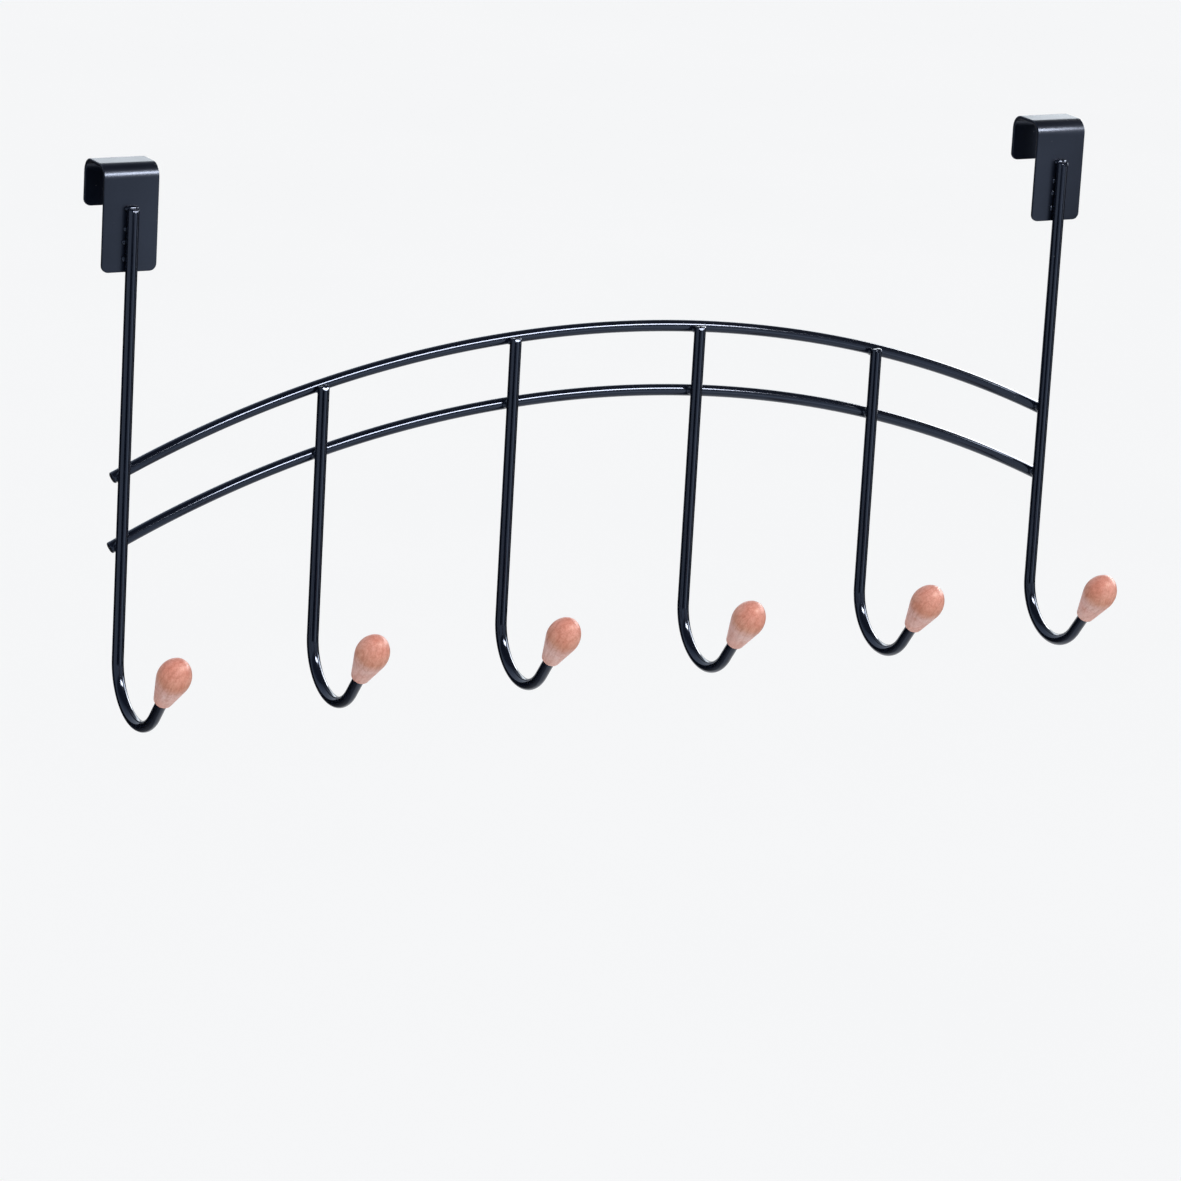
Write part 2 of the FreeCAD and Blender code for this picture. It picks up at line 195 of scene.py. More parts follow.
def make_rail(name, paint):
    """Wire bent to an arc of a circle in the plane y = RAIL_Y, at (R sin a, y,
    -crown - R + R cos a)."""
    crown, radius = ARCHES[name]
    reach = asin(RAIL_REACH / radius)
    length = 2 * reach * radius
    along = near_ends(length, WIRE_END_ROUND, RAIL_STEP)
    angle = along / radius - reach
    path = np.stack([radius * np.sin(angle), np.full_like(angle, RAIL_Y),
                     -crown - radius + radius * np.cos(angle)], -1)
    tangent = np.stack([np.cos(angle), np.zeros_like(angle), -np.sin(angle)], -1)
    rings = wire_rings(path, tangent, (0, 1, 0), along, length)
    piece = skin(name + "_wire", rings, paint)
    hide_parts(name)


def hook_path(along, stem, bend_centre):
    """A straight stem down to the bend, an arc of BEND_RADIUS through a right angle and
    TIP_ANGLE, and a straight tip. Returns places and tangents in the (y, z) plane."""
    sweep = pi / 2 + TIP_ANGLE
    arc_length = sweep * BEND_RADIUS
    angle = np.clip((along - stem) / BEND_RADIUS, 0, sweep)
    drop = np.minimum(along, stem)
    rest = np.maximum(along - stem - arc_length, 0)
    y = HOOK_Y - BEND_RADIUS * (1 - np.cos(angle)) - np.sin(angle) * rest
    z = bend_centre + (stem - drop) - BEND_RADIUS * np.sin(angle) - np.cos(angle) * rest
    tangent = np.stack([np.zeros_like(angle), -np.sin(angle), -np.cos(angle)], -1)
    return y, z, tangent


def hook_sizes(index):
    """Whether a hook is an outer one, its top and its bend's centre: the outer two reach the
    brackets, and the others end just above the middle of the upper rail."""
    outer = index in OUTER_HOOKS
    top = -OUTER_TOP if outer else rail_height("upper_rail", HOOK_X[index]) + INNER_TOP_RISE
    depth = OUTER_DEPTH if outer else INNER_DEPTH
    return outer, top, -depth + WIRE_RADIUS + BEND_RADIUS


def make_hook_wire(index, paint):
    """The hook's wire. The shears that cut it left a slanted land along the front of its top
    end, z <= top - rise (f - R + depth + lean x), where f is how far a point stands in front
    of the wire's axis and x how far to its right. The back of an outer wire is flat where it
    lies on its flange."""
    outer, top, bend_centre = hook_sizes(index)
    stem = top - bend_centre
    length = stem + (pi / 2 + TIP_ANGLE) * BEND_RADIUS + TIP_LENGTH + KNOB_BORE_DEPTH
    along = near_ends(length, WIRE_END_ROUND, HOOK_STEP)
    over_land = np.linspace(WIRE_END_ROUND, SHEARED_REACH + 0.2 * MM, LAND_STEPS)
    along = np.unique(np.concatenate([along, over_land]).round(7))
    y, z, tangent = hook_path(along, stem, bend_centre)
    path = np.stack([np.full_like(y, HOOK_X[index]), y, z], -1)
    rings = wire_rings(path, tangent, (1, 0, 0), along, length)
    draw = np.random.default_rng(index)
    lean = draw.uniform(-0.25, 0.25) * (rings[..., 0] - HOOK_X[index])
    forward = HOOK_Y - rings[..., 1] - WIRE_RADIUS + SHEARED_DEPTH * draw.uniform(0.8, 1.1)
    land = top - SHEARED_RISE * np.maximum(forward + lean, 0)
    near_top = rings[..., 2] > top - SHEARED_REACH
    rings[..., 2] = np.where(near_top, np.minimum(rings[..., 2], land), rings[..., 2])
    if outer:
        on_flange = rings[..., 2] > -FLANGE_DROP
        rings[..., 1] = np.where(on_flange, np.minimum(rings[..., 1], FLANGE_FRONT), rings[..., 1])
    name = f"hook_wire_{index + 1}"
    piece = skin(name + "_bent", rings, paint)
    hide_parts(name)


def knob_outline():
    """The knob's outline as (radius, height) from its foot: a flat foot, a rim arc, a flank
    that touches rim and belly, a belly arc, and a crown arc that touches the belly and
    crosses the axis square. The crown's radius is (B^2 - e^2 - h^2) / (2 (B - h)), with B
    the belly's radius, e its centre's distance from the axis and h what stands above it."""
    aside = KNOB_BELLY - KNOB_RADIUS
    above = KNOB_LENGTH - KNOB_WIDEST
    crown = (KNOB_BELLY ** 2 - aside ** 2 - above ** 2) / (2 * (KNOB_BELLY - above))
    rim_x, rim_z = KNOB_FOOT_RADIUS - KNOB_FOOT_ROUND, KNOB_FOOT_ROUND
    apart_x, apart_z = rim_x + aside, rim_z - KNOB_WIDEST
    flank = (atan2(apart_z, apart_x)
             + np.arccos((KNOB_BELLY - KNOB_FOOT_ROUND) / hypot(apart_x, apart_z)))
    shoulder = atan2(above - crown, aside)
    rim_turn = np.linspace(-pi / 2, flank, RIM_STEPS)
    belly_turn = np.linspace(flank, shoulder, CURVE_STEPS)
    crown_turn = np.linspace(shoulder, pi / 2, CURVE_STEPS)[1:-1]
    foot = np.linspace(KNOB_BORE_RADIUS, rim_x, FOOT_STEPS)[:-1]
    radius = np.concatenate([foot, rim_x + KNOB_FOOT_ROUND * np.cos(rim_turn),
                             -aside + KNOB_BELLY * np.cos(belly_turn), crown * np.cos(crown_turn)])
    height = np.concatenate([np.zeros_like(foot), rim_z + KNOB_FOOT_ROUND * np.sin(rim_turn),
                             KNOB_WIDEST + KNOB_BELLY * np.sin(belly_turn),
                             KNOB_LENGTH - crown + crown * np.sin(crown_turn)])
    return radius, height


def make_knob(index, wood):
    """The outline turned round the tip's axis, with the bore's wall and bottom inside. Each
    point also keeps its place in the blank that the knob was turned from, and its rise from
    the foot at 0 to the head at 1."""
    _, _, bend_centre = hook_sizes(index)
    radius, height = knob_outline()
    bore = np.linspace(KNOB_BORE_DEPTH, 0, BORE_STEPS)[:-1]
    radius = np.concatenate([np.full_like(bore, KNOB_BORE_RADIUS), radius])
    height = np.concatenate([bore, height])
    turn = np.linspace(0, 2 * pi, KNOB_AROUND, endpoint=False)
    blank = np.stack([radius[:, None] * np.cos(turn), radius[:, None] * np.sin(turn),
                      np.repeat(height[:, None], turn.size, 1)], -1)
    tangent = np.array([0, -cos(TIP_ANGLE), sin(TIP_ANGLE)])
    foot_y = HOOK_Y - BEND_RADIUS * (1 + sin(TIP_ANGLE)) + tangent[1] * TIP_LENGTH
    foot_z = bend_centre - BEND_RADIUS * cos(TIP_ANGLE) + tangent[2] * TIP_LENGTH
    side = np.cross(tangent, (1, 0, 0))
    rings = (np.array([HOOK_X[index], foot_y, foot_z]) + blank[..., :1] * np.array([1, 0, 0])
             + blank[..., 1:2] * side + blank[..., 2:] * tangent)
    name = f"knob_{index + 1}"
    piece = skin(name + "_turned", rings, wood)
    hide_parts(name)
    draw = np.random.default_rng(40 + index)
    roll = draw.uniform(0, 2 * pi)
    shift = np.array([draw.uniform(8, 20), draw.uniform(-4, 4), draw.uniform(0, 400)]) * MM
    place = blank.reshape(-1, 3)
    place = np.concatenate([place, [place[:turn.size].mean(0), place[-turn.size:].mean(0)]])
    turned = np.stack([place[:, 0] * cos(roll) - place[:, 1] * sin(roll),
                       place[:, 0] * sin(roll) + place[:, 1] * cos(roll), place[:, 2]], -1) + shift
    keep = piece.data.attributes.new("blank", "FLOAT_VECTOR", "POINT")
    keep.data.foreach_set("vector", turned.astype(np.float32).ravel())
    rise = piece.data.attributes.new("rise", "FLOAT", "POINT")
    rise.data.foreach_set("value", (place[:, 2] / KNOB_LENGTH).astype(np.float32))


def make_crossing_weld(index, name, paint):
    """The weld where a hook wire crosses a rail, under its paint: a saddle between the two.
    Ring u, from the rail at 0 to the wire at 1, is an ellipse along the rail and the wire,
    A(u) cos t T + B(u) sin t Z. It is long on the rail where u is 0 and on the wire where u is
    1, A = waist + reach (1 - u)^flare and B = waist + reach u^flare, and its y goes evenly from
    the rail's front to the wire's back at the same x and z. At a wire's end it is smaller and
    lower, and doesn't lengthen on the wire."""
    x = HOOK_X[index]
    crown, radius = ARCHES[name]
    centre = -crown - radius
    at_wire_end = name == "upper_rail" and index not in OUTER_HOOKS
    waist, reach = END_SADDLE if at_wire_end else SADDLE
    wire_reach = 0 if at_wire_end else reach
    z = rail_height(name, x) - (END_SADDLE_DROP if at_wire_end else 0)
    u = np.linspace(0, 1, SADDLE_STEPS)[:, None]
    turn = np.linspace(0, 2 * pi, WIRE_AROUND, endpoint=False)
    draw = np.random.default_rng(100 + 10 * index + len(name))
    uneven = 1 + sum(draw.uniform(0.01, 0.05) * np.cos(k * turn + draw.uniform(0, 2 * pi))
                     for k in (1, 2, 3))
    slope = asin(x / radius)
    on_rail = (waist + reach * (1 - u) ** SADDLE_FLARE) * np.cos(turn) * uneven
    on_wire = (waist + wire_reach * u ** SADDLE_FLARE) * np.sin(turn) * uneven
    px = x + on_rail * cos(slope)
    pz = z - on_rail * sin(slope) + on_wire
    off_rail = np.hypot(px, pz - centre) - radius
    rail_front = RAIL_Y - np.sqrt(np.maximum(WIRE_RADIUS ** 2 - off_rail ** 2, 0)) + SADDLE_SINK
    wire_back = HOOK_Y + np.sqrt(np.maximum(WIRE_RADIUS ** 2 - (px - x) ** 2, 0)) - SADDLE_SINK
    rings = np.stack([px, rail_front * (1 - u) + wire_back * u, pz], -1)
    skin(f"weld_{index + 1}_{name}", rings, paint)


def make_bead(name, middle, radii, seed, paint):
    """A lump of weld metal: a ball (cos u cos t, cos u sin t, sin u) stretched to three radii,
    with three low waves round it and three up it."""
    draw = np.random.default_rng(seed)
    up = np.linspace(-pi / 2, pi / 2, BEAD_STEPS)[1:-1, None]
    turn = np.linspace(0, 2 * pi, BEAD_AROUND, endpoint=False)
    wave = sum(draw.uniform(0.02, 0.07) * np.cos(k * turn + draw.uniform(0, 2 * pi))
               * np.cos(up) ** k
               + draw.uniform(0.02, 0.05) * np.sin(k * up + draw.uniform(0, 2 * pi))
               for k in (1, 2, 3))
    ball = np.stack([np.cos(up) * np.cos(turn), np.cos(up) * np.sin(turn),
                     np.sin(up) + 0 * turn], -1)
    rings = np.array(middle) + ball * (1 + wave)[..., None] * np.array(radii)
    skin(name, rings, paint)


def make_bracket_welds(side, index, paint):
    """The welds of an outer wire on its bracket: one over the wire's end, and small ones down
    the crease on each side of it."""
    x = HOOK_X[index]
    make_bead(f"weld_{side}_bracket_top",
              (x, FLANGE_FRONT - 2 * BEAD_STAND, -OUTER_TOP - TOP_BEAD_DROP),
              TOP_BEAD, 7 + index, paint)
    for step, (aside, depth, width) in enumerate(BRACKET_BEADS):
        make_bead(f"weld_{side}_bracket_{step + 1}", (x + aside, FLANGE_FRONT - BEAD_STAND, -depth),
                  (width, BEAD_THICKNESS, BEAD_HEIGHT), 20 + 5 * index + step, paint)


def strip_path(along):
    """The middle of the folded strip in the (y, z) plane, by distance from the foot of the
    front flange: up the flange, round the front fold, back along the top, round the back fold
    and down the lip. Returns places and outward normals."""
    half = STRIP_THICKNESS / 2
    fold = FOLD_INSIDE + half
    front, back = FLANGE_FRONT + half, LIP_BACK - half
    flange = FLANGE_DROP - FOLD_INSIDE
    quarter = fold * pi / 2
    top = back - front - 2 * fold
    first = np.clip((along - flange) / fold, 0, pi / 2)
    second = np.clip((along - flange - quarter - top) / fold, 0, pi / 2)
    on_flange = np.minimum(along, flange)
    on_top = np.clip(along - flange - quarter, 0, top)
    on_lip = np.maximum(along - flange - 2 * quarter - top, 0)
    y = front + fold * (1 - np.cos(first)) + on_top + fold * np.sin(second)
    z = -FLANGE_DROP + on_flange + fold * np.sin(first) - fold * (1 - np.cos(second)) - on_lip
    turn = first + second
    return y, z, np.stack([np.zeros_like(turn), -np.cos(turn), np.sin(turn)], -1)


def strip_section(half_width, half_thickness, corner):
    """A slab's section with four rounded corners: (w, t) on quarter circles of radius corner
    about (+-(W - corner), +-(H - corner)), joined by straight sides."""
    quarter = np.linspace(0, pi / 2, SECTION_STEPS)
    turn = np.concatenate([quarter + k * pi / 2 for k in range(4)])
    sign_w = np.repeat([1, -1, -1, 1], SECTION_STEPS)
    sign_t = np.repeat([1, 1, -1, -1], SECTION_STEPS)
    w = sign_w * (half_width - corner)[:, None] + corner * np.cos(turn)
    t = sign_t * (half_thickness - corner)[:, None] + corner * np.sin(turn)
    return w, t


def make_bracket(name, x, paint):
    """Flat strip folded into a U. Its half-width narrows in the rounded corners by
    C - sqrt(C^2 - (C - d)^2), and both half-width and half-thickness by the soft edge."""
    fold = FOLD_INSIDE + STRIP_THICKNESS / 2
    length = (FLANGE_DROP - FOLD_INSIDE + LIP_DROP - FOLD_INSIDE + pi * fold
              + LIP_BACK - FLANGE_FRONT - STRIP_THICKNESS - 2 * fold)
    near = np.unique(np.concatenate([ease_in(STRIP_CORNER, STRIP_CORNER_STEPS),
                                     ease_in(STRIP_EDGE_ROUND, STRIP_EDGE_STEPS)]).round(7))
    middle = np.linspace(STRIP_CORNER, length - STRIP_CORNER, STRIP_STEPS)[1:-1]
    along = np.concatenate([near, middle, (length - near)[::-1]])
    soft = shrink_at_ends(along, length, STRIP_EDGE_ROUND)
    narrow = shrink_at_ends(along, length, STRIP_CORNER)
    w, t = strip_section(STRIP_WIDTH / 2 - narrow - soft, STRIP_THICKNESS / 2 - soft,
                         STRIP_EDGE_ROUND)
    y, z, normal = strip_path(along)
    path = np.stack([np.full_like(y, x), y, z], -1)
    rings = path[:, None] + t[..., None] * normal[:, None] + w[..., None] * np.array([1, 0, 0])
    piece = skin(name + "_strip", rings, paint)
    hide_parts(name)


def feed(tree, socket, value):
    """Link an output to a socket, or set the socket to a plain value."""
    if isinstance(value, bpy.types.NodeSocket):
        tree.links.new(value, socket)
    else:
        socket.default_value = value


def feed_all(tree, node, values):
    """Feed a node's sockets from outputs or plain values by socket name."""
    for name, value in values.items():
        feed(tree, node.inputs[name], value)


def add(tree, kind, **values):
    """A node of a kind. Each value is fed to the socket of that name, or else is a setting."""
    node = tree.nodes.new("ShaderNode" + kind)
    for key, value in values.items():
        socket = node.inputs.get(key.replace("_", " ").title())
        if socket is None:
            setattr(node, key, value)
        else:
            feed(tree, socket, value)
    return node


def arithmetic(tree, operation, first, second, **settings):
    """Two values worked out together, each an output or a number."""
    node = add(tree, "Math", operation=operation, **settings)
    feed(tree, node.inputs[0], first)
    feed(tree, node.inputs[1], second)
    return node.outputs[0]


def mixed(tree, first, second, factor, blend_type="MIX"):
    """Two colours mixed by a factor, each an output or a plain value."""
    node = add(tree, "Mix", data_type="RGBA", blend_type=blend_type, factor=factor)
    feed(tree, node.inputs[MIX_A], first)
    feed(tree, node.inputs[MIX_B], second)
    return node.outputs[MIX_RESULT]


def ramp(tree, mask, *stops):
    """A colour ramp of a mask, with stops of (place, grey or colour)."""
    node = add(tree, "ValToRGB", fac=mask)
    elements = node.color_ramp.elements
    while len(elements) < len(stops):
        elements.new(0.5)
    for element, (place, value) in zip(elements, stops):
        element.position = place
        element.color = (*value, 1) if isinstance(value, tuple) else (value, value, value, 1)
    return node.outputs["Color"]


def noise(tree, place, **values):
    """Noise over a place, as a mask."""
    return add(tree, "TexNoise", vector=place, **values).outputs["Fac"]


def shader(name, build):
    """A material with one Principled BSDF, which build(tree, bsdf) finishes."""
    material = bpy.data.materials.new(name)
    material.use_nodes = True
    tree = material.node_tree
    build(tree, tree.nodes["Principled BSDF"])
    return material


def new_group(name, inputs, outputs):
    """A shader node group with named sockets: inputs as (name, kind, default), and outputs as
    (name, kind). Returns it with its own input node and output node."""
    group = bpy.data.node_groups.new(name, "ShaderNodeTree")
    for socket_name, kind, default in inputs:
        socket = group.interface.new_socket(
            socket_name, in_out="INPUT", socket_type="NodeSocket" + kind)
        if default is not None:
            socket.default_value = default
    for socket_name, kind in outputs:
        group.interface.new_socket(
            socket_name, in_out="OUTPUT", socket_type="NodeSocket" + kind)
    return group, group.nodes.new("NodeGroupInput"), group.nodes.new("NodeGroupOutput")


def specks_group():
    """Stray specks: what is nearer than Size to the middle of its Voronoi cell, kept only in
    the cells whose own random colour has less red than Share."""
    group, given, made = new_group(
        "stray_specks",
        [("Vector", "Vector", None), ("Scale", "Float", 300.0), ("Size", "Float", 0.2),
         ("Share", "Float", 0.1)],
        [("Mask", "Float")])
    cells = add(group, "TexVoronoi", vector=given.outputs["Vector"], scale=given.outputs["Scale"])
    near = add(group, "MapRange", interpolation_type="SMOOTHSTEP", value=cells.outputs["Distance"],
               from_max=given.outputs["Size"], to_min=1, to_max=0)
    split = add(group, "SeparateColor", color=cells.outputs["Color"])
    chosen = arithmetic(group, "LESS_THAN", split.outputs["Red"], given.outputs["Share"])
    mask = arithmetic(group, "MULTIPLY", near.outputs["Result"], chosen)
    feed(group, made.inputs["Mask"], mask)
    return group


def paint_film_group(specks):
    """Stoved black paint: its colour drifts a little between two blacks, its roughness
    between two values, and its height is fine orange peel with a few nibs of dust."""
    group, given, made = new_group(
        "paint_film",
        [("Vector", "Vector", None), ("Dark", "Color", (0.0020, 0.0030, 0.0070, 1)),
         ("Pale", "Color", (0.0040, 0.0055, 0.0115, 1)), ("Peel Scale", "Float", 900.0),
         ("Speck Share", "Float", 0.05), ("Least Rough", "Float", 0.11),
         ("Most Rough", "Float", 0.17)],
        [("Color", "Color"), ("Roughness", "Float"), ("Height", "Float")])
    place = given.outputs["Vector"]
    drift = noise(group, place, scale=45.0, detail=4.0)
    tone = ramp(group, drift, (0.35, 0.0), (0.68, 1.0))
    black = mixed(group, given.outputs["Dark"], given.outputs["Pale"], tone)
    dust = add(group, "Group", node_tree=specks, vector=place, scale=330, size=0.10,
               share=given.outputs["Speck Share"]).outputs["Mask"]
    faint = arithmetic(group, "MULTIPLY", dust, 0.55)
    gloss = add(group, "MapRange", value=drift, to_min=given.outputs["Least Rough"],
                to_max=given.outputs["Most Rough"])
    peel = noise(group, place, scale=given.outputs["Peel Scale"], detail=2.0, roughness=0.45)
    feed_all(group, made, {"Color": mixed(group, black, (0.30, 0.31, 0.33, 1), faint),
                           "Roughness": gloss.outputs["Result"],
                           "Height": arithmetic(group, "ADD", peel, dust)})
    return group


def black_paint(name, film, peel_scale, bump, rough, ior):
    """Gloss black paint over steel, from the paint film group on Object coordinates, with a
    bluish tint to its shine."""
    def build(tree, bsdf):
        place = add(tree, "TexCoord").outputs["Object"]
        coat = add(tree, "Group", node_tree=film, vector=place, peel_scale=peel_scale,
                   least_rough=rough[0], most_rough=rough[1])
        raised = add(tree, "Bump", strength=bump, distance=0.05 * MM,
                     height=coat.outputs["Height"])
        feed_all(tree, bsdf, {"Base Color": coat.outputs["Color"],
                              "Roughness": coat.outputs["Roughness"],
                              "Normal": raised.outputs["Normal"], "IOR": ior,
                              "Specular Tint": (0.56, 0.70, 1.0, 1)})
    return shader(name, build)


def turned_wood(name, specks):
    """Close-grained pinkish wood under satin lacquer. Growth rings are faint sine bands of the
    distance from the tree's heart, bent by noise; fibres are noise stretched along the grain;
    broad clouds and a finer, curly figure are noise too, and stray pores are dark. Up the knob
    the head is redder, partly the wood's own tone and partly painted shade, and the foot is
    paler, a painted reflection of the pale floor below."""
    def build(tree, bsdf):
        blank = add(tree, "Attribute", attribute_name="blank").outputs["Vector"]
        rise = add(tree, "Attribute", attribute_name="rise").outputs["Fac"]
        grain = add(tree, "Mapping", vector=blank, scale=(1, 1, 0.12)).outputs["Vector"]
        growth = add(tree, "TexWave", vector=grain, wave_type="RINGS", rings_direction="Z",
                     scale=120.0, distortion=9.0, detail=4.0, detail_scale=1.6).outputs["Fac"]
        fibre = noise(tree, grain, scale=1900.0, detail=5.0, roughness=0.62)
        cloud = noise(tree, blank, scale=95.0, detail=3.0)
        figure = noise(tree, blank, scale=420.0, detail=4.0, roughness=0.68, distortion=1.3)
        pores = add(tree, "Group", node_tree=specks, vector=grain, scale=900, size=0.25,
                    share=0.12).outputs["Mask"]
        color = ramp(tree, growth, (0.0, (0.88, 0.545, 0.487)), (0.5, (0.895, 0.557, 0.503)),
                     (1.0, (0.91, 0.572, 0.52)))
        # The first ramp, on rise from foot to head, is painted light: a paler foot for the floor's
        # reflection and painted shade up the knob, over the wood's own redder head.
        for mask, share, *stops in (
                (rise, 1.0, (0.0, (0.95, 0.94, 0.89)), (0.45, (0.93, 1.0, 1.0)),
                 (0.67, (0.79, 0.64, 0.50)), (1.0, (0.92, 0.69, 0.61))),
                (growth, 0.28, (0.0, (0.78, 0.60, 0.53)), (0.2, 1.0)),
                (fibre, 0.6, (0.36, (0.80, 0.68, 0.62)), (0.58, 1.0)),
                (cloud, 0.9, (0.32, (0.93, 0.76, 0.70)), (0.62, 1.0)),
                (figure, 0.5, (0.40, (0.82, 0.62, 0.54)), (0.52, 1.0)),
                (pores, 0.8, (0.0, 1.0), (1.0, (0.70, 0.52, 0.45)))):
            color = mixed(tree, color, ramp(tree, mask, *stops), share, "MULTIPLY")
        sheen = add(tree, "MapRange", value=fibre, to_min=0.42, to_max=0.56)
        raised = add(tree, "Bump", strength=0.25, distance=0.06 * MM, height=fibre)
        feed_all(tree, bsdf, {"Base Color": color, "Roughness": sheen.outputs["Result"],
                              "Normal": raised.outputs["Normal"], "Specular IOR Level": 0.25,
                              "Coat Weight": 0.05, "Coat Roughness": 0.3})
    return shader(name, build)


def make_rack():
    """All the pieces of the rack, in their three finishes."""
    specks = specks_group()
    film = paint_film_group(specks)
    wire_paint = black_paint("wire_black_paint", film, peel_scale=900.0, bump=0.008,
                             rough=(0.09, 0.14), ior=1.5)
    strip_paint = black_paint("strip_black_paint", film, peel_scale=700.0, bump=0.12,
                              rough=(0.26, 0.34), ior=1.48)
    wood = turned_wood("turned_knob_wood", specks)
    for side, index in zip(("left", "right"), OUTER_HOOKS):
        make_bracket(side + "_bracket", HOOK_X[index], strip_paint)
        make_bracket_welds(side, index, wire_paint)
    for name in ARCHES:
        make_rail(name, wire_paint)
        for index in range(len(HOOK_X)):
            make_crossing_weld(index, name, wire_paint)
    for index in range(len(HOOK_X)):
        make_hook_wire(index, wire_paint)
        make_knob(index, wood)


def floor_look(tree, bsdf):
    """A pale floor with a faint mottle. Where it is looked at or mirrored, FLOOR_GLOW of its
    light is its own, which whitens it and keeps the shadows."""
    place = add(tree, "TexCoord").outputs["Object"]
    mottle = ramp(tree, noise(tree, place, scale=3.0, detail=3.0),
                  (0.3, (0.90, 0.91, 0.91)), (0.7, (0.93, 0.935, 0.935)))
    feed_all(tree, bsdf, {"Base Color": mottle, "Roughness": 0.9, "Specular IOR Level": 0.1})
    glow = add(tree, "Emission")
    ray = add(tree, "LightPath").outputs
    seen = arithmetic(tree, "ADD", ray["Is Camera Ray"], ray["Is Glossy Ray"])
    seen = arithmetic(tree, "ADD", seen, ray["Is Transmission Ray"], use_clamp=True)
    both = add(tree, "MixShader", fac=arithmetic(tree, "MULTIPLY", seen, FLOOR_GLOW))
    feed(tree, both.inputs[1], bsdf.outputs[0])
    feed(tree, both.inputs[2], glow.outputs[0])
    feed(tree, tree.nodes["Material Output"].inputs["Surface"], both.outputs[0])


def make_floor():
    """A square floor some way below the hanging rack."""
    mesh = bpy.data.meshes.new("floor")
    corners = [(x * FLOOR_REACH, y * FLOOR_REACH, FLOOR_HEIGHT)
               for x, y in ((-1, -1), (1, -1), (1, 1), (-1, 1))]
    mesh.from_pydata(corners, [], [(0, 1, 2, 3)])
    mesh.materials.append(shader("pale_floor", floor_look))
    floor = put("floor", mesh)


def felt_look(tree, bsdf):
    """Felt with a fine mottle and no shine: black, but on the flag that lies over the floor it
    is grey below the rack and darkens outward, a painted pool of light for the gloss to mirror."""
    place = add(tree, "TexCoord").outputs["Object"]
    split = add(tree, "SeparateXYZ", vector=place)
    level = add(tree, "CombineXYZ", x=split.outputs["X"], y=split.outputs["Y"])
    away = add(tree, "VectorMath", operation="LENGTH", vector=level.outputs[0])
    # Painted pool of light: the grey is lightest close below the rack and darkens outward.
    outward = add(tree, "MapRange", value=away.outputs["Value"], from_max=FLAG_DISTANCE)
    grey = ramp(tree, outward.outputs["Result"],
                (0.1, 0.55), (0.28, 0.34), (0.42, 0.14), (0.65, 0.05), (0.95, 0.01))
    mottle = ramp(tree, noise(tree, place, scale=60.0, detail=4.0), (0.3, 0.7), (0.7, 1.0))
    feed_all(tree, bsdf, {"Base Color": mixed(tree, grey, mottle, 1, "MULTIPLY"),
                          "Roughness": 1.0, "Specular IOR Level": 0.0})


def make_flags():
    """Dark flags round the rack that are only seen mirrored in the gloss, where they draw the
    dark lines down the wires. Each is a sheet bent about the rack's middle, between a near
    edge and a far one: (D sin a, -D cos a, z), where a is the turn from straight in front."""
    felt = shader("black_felt", felt_look)
    for index, ((start, end), near, far) in enumerate(FLAGS):
        turn = np.radians(np.linspace(start, end, FLAG_STEPS + 1))[:, None]
        distance, height = np.array([near, far]).T
        sheet = np.stack(np.broadcast_arrays(
            distance * np.sin(turn), -distance * np.cos(turn), height), -1)
        faces = np.arange(FLAG_STEPS)[:, None] * 2 + np.array([0, 2, 3, 1])
        mesh = bpy.data.meshes.new(f"flag_{index + 1}")
        mesh.from_pydata(sheet.reshape(-1, 3).tolist(), [], faces.tolist())
        mesh.materials.append(felt)
        flag = put(mesh.name, mesh)
        flag.visible_camera = flag.visible_diffuse = flag.visible_shadow = False


def make_room():
    """The room that the gloss mirrors: pale low down all round and up one side, behind on the
    left, and dim elsewhere overhead."""
    world = bpy.data.worlds.new("studio")
    bpy.context.scene.world = world
    world.use_nodes = True
    tree = world.node_tree
    toward = add(tree, "TexCoord").outputs["Generated"]
    height = add(tree, "SeparateXYZ", vector=toward).outputs["Z"]
    low = ramp(tree, height, (0.0, (0.72, 0.74, 0.76)), (0.26, (0.68, 0.70, 0.73)),
               (0.38, (0.10, 0.10, 0.11)))
    facing = add(tree, "VectorMath", operation="DOT_PRODUCT", vector=toward)
    feed(tree, facing.inputs[1], (-0.40, 0.85, 0.33))
    side = ramp(tree, facing.outputs["Value"], (0.42, (0.10, 0.10, 0.11)),
                (0.60, (0.28, 0.30, 0.34)), (0.75, (0.48, 0.53, 0.60)), (0.93, (0.70, 0.77, 0.88)))
    feed_all(tree, tree.nodes["Background"],
             {"Color": mixed(tree, low, side, 1, "LIGHTEN"), "Strength": 1.2})


def turn_along(direction):
    """The turn that points a lamp along a direction."""
    return Vector(direction).to_track_quat("-Z", "Y").to_euler()


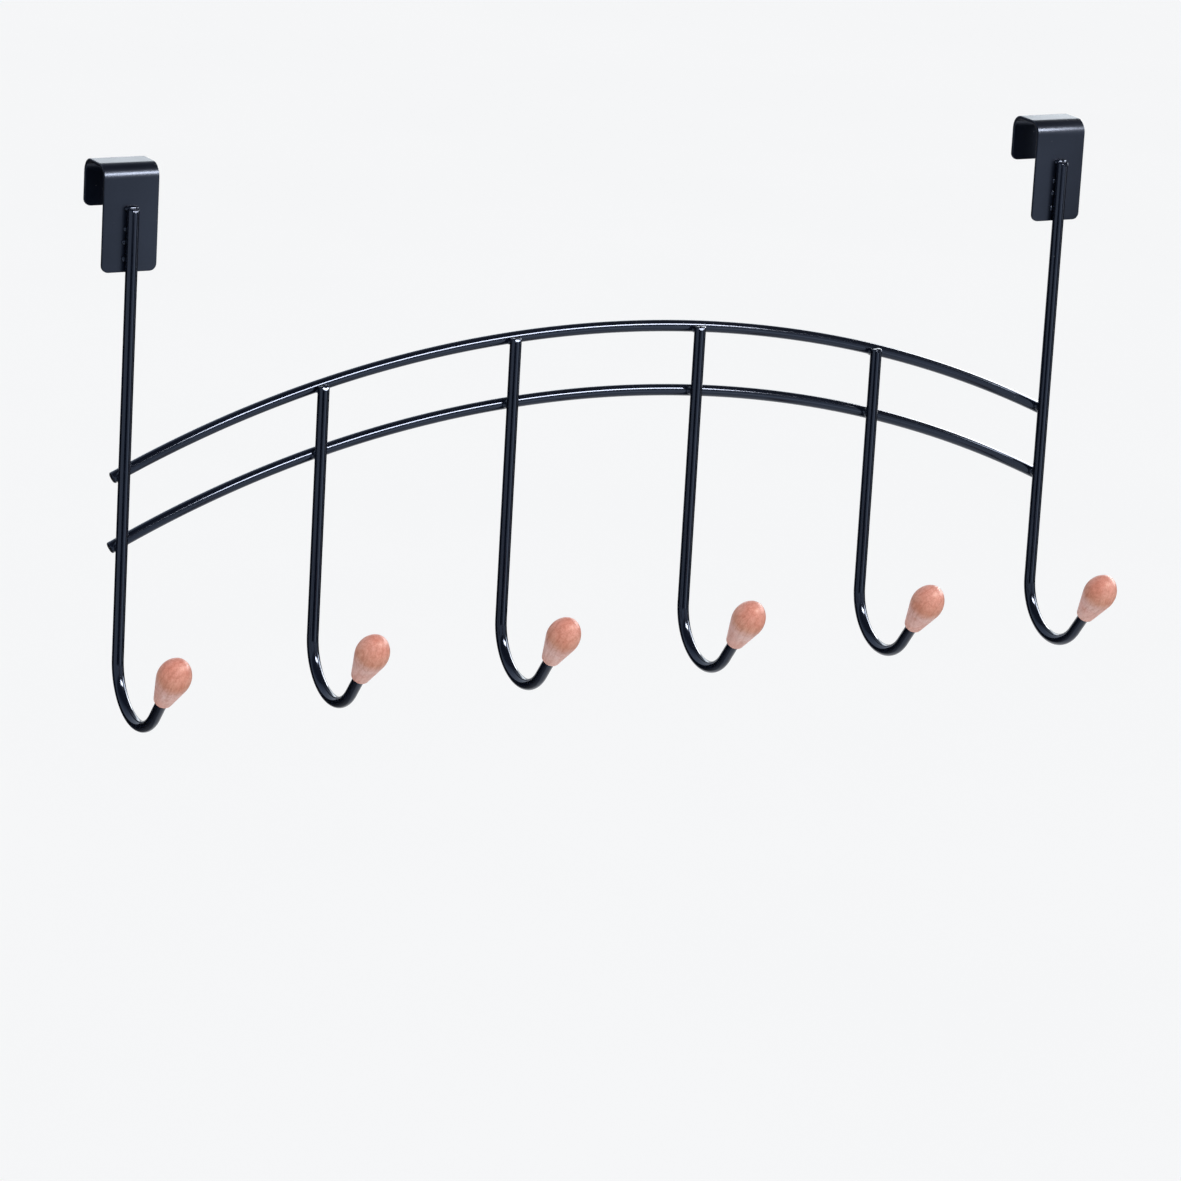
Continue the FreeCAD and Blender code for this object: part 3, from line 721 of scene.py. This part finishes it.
def area_lamp(name, place, aim, width, height, radiance, color=(1, 1, 1)):
    """A soft rectangular lamp at place, facing aim. It only draws highlights, and its power
    is pi times its area times how bright it looks."""
    lamp = bpy.data.lights.new(name, "AREA")
    lamp.color = color
    lamp.shape = "RECTANGLE"
    lamp.size, lamp.size_y = width, height
    lamp.energy = pi * width * height * radiance
    stand = put(name, lamp)
    stand.location = place
    stand.rotation_euler = turn_along(Vector(aim) - Vector(place))
    stand.visible_diffuse = False
    stand.visible_camera = False


def light_studio():
    """One broad soft lamp from above in front, and lamps that are only seen mirrored in the
    gloss: a long one in front for the bright line along the rails and folds and for the spot
    inside the bends, one on the right for the thin line below that spot, a low one for the
    bright band down the wires, and one behind for the tops of the brackets."""
    key = bpy.data.lights.new("soft_key", "SUN")
    key.energy = 1.95
    key.angle = radians(35)
    stand = put("soft_key", key)
    stand.rotation_euler = turn_along((-0.04, 0.72, -0.82))
    stand.visible_glossy = False
    area_lamp("front_strip", (0.75, -1.75, 1.20), (0, 0, -0.12), 1.5, 0.42, 64, (1, 0.89, 0.78))
    area_lamp("right_window", (1.8, 0.45, 0.46), (0, 0.45, -0.20), 2.3, 0.72, 13)
    area_lamp("right_strip", (0.78, -1.53, -0.55), (0, 0, -0.12), 0.50, 0.40, 0.95)
    area_lamp("back_strip", (2.1, 3.9, 1.0), (0, 0, 0), 4.0, 1.3, 2.4, (0.88, 0.95, 1.0))


def set_camera():
    """The photograph's view: turned 28.5 degrees to the right of straight in front, 15.5 down
    and leaning 3.3, from 2.46 m away through a long lens."""
    yaw, pitch, roll = radians(28.5), radians(15.5), radians(3.3)
    distance, aim = 2.46, Vector((-1.7, -14.6, -192.6)) * MM
    forward = Vector((sin(yaw) * cos(pitch), cos(yaw) * cos(pitch), -sin(pitch)))
    level = Vector((cos(yaw), -sin(yaw), 0))
    above = level.cross(forward)
    right = cos(roll) * level + sin(roll) * above
    up = cos(roll) * above - sin(roll) * level
    camera = bpy.data.cameras.new("camera")
    camera.lens, camera.sensor_width = 175.7, 36
    camera.clip_end = 100
    stand = put("camera", camera)
    turn = Matrix((right, up, -forward)).transposed().to_4x4()
    stand.matrix_world = Matrix.Translation(aim - forward * distance) @ turn
    bpy.context.scene.camera = stand


make_rack()
make_floor()
make_flags()
make_room()
light_studio()
set_camera()
bpy.context.scene.view_settings.view_transform = "Standard"
